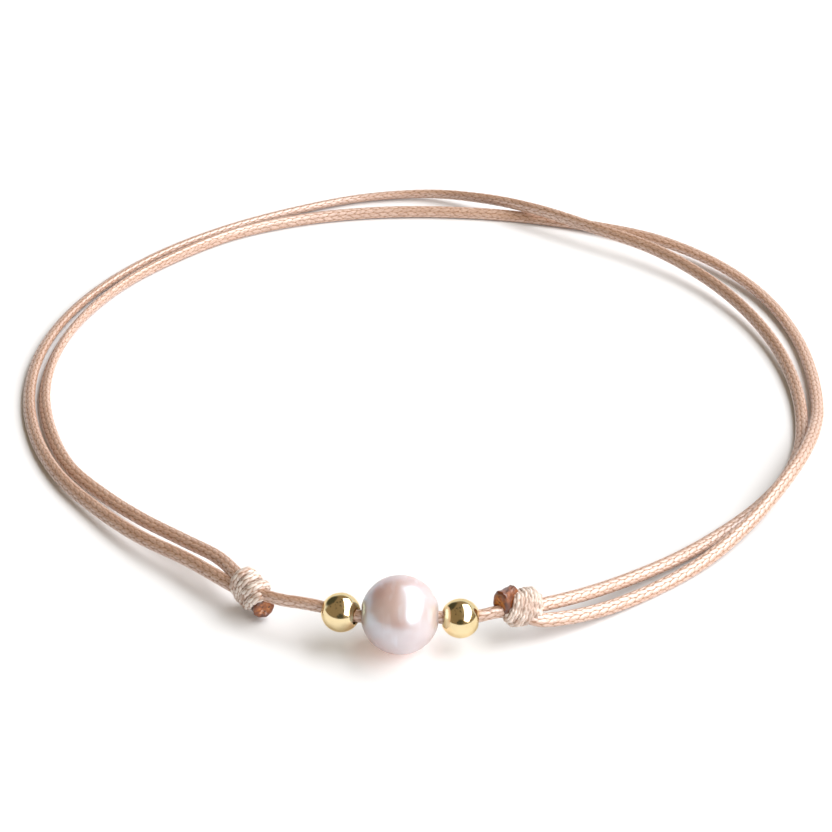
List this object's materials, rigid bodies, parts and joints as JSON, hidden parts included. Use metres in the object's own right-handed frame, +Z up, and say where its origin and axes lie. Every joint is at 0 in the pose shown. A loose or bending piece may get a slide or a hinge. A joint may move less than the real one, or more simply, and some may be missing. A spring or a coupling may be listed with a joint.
{
  "type": "pearl choker",
  "caption": "Choker on a loop of braided cord, with a large pearl between gold balls and sliding knots that set its size, lying flat.",
  "frame": {"origin": "middle of the choker's box, on the surface that it lies on", "axes": "+Z up, -Y towards the pearl at the front, +X to the right as seen from the front"},
  "size_m": [0.1147, 0.1334, 0.01],
  "materials": {
    "pearl": "pale lavender-pink nacre with a soft satin lustre",
    "gold": "mirror-polished yellow gold plating",
    "cord": "waxed braided cord, pale pinkish beige with brown lines between its strands",
    "melted_cord": "glossy scorched amber-brown, where the cut end was melted"
  },
  "bodies": {
    "root": {"pearl": "pearl", "gold_bead_left": "gold", "gold_bead_right": "gold", "cord_front": "cord", "cord_strand_tied_left": "cord", "cord_strand_tied_right": "cord", "sliding_knot_left": "cord", "sliding_knot_right": "cord", "melted_end_left": "melted_cord", "melted_end_right": "melted_cord"}
  },
  "joints": []
}
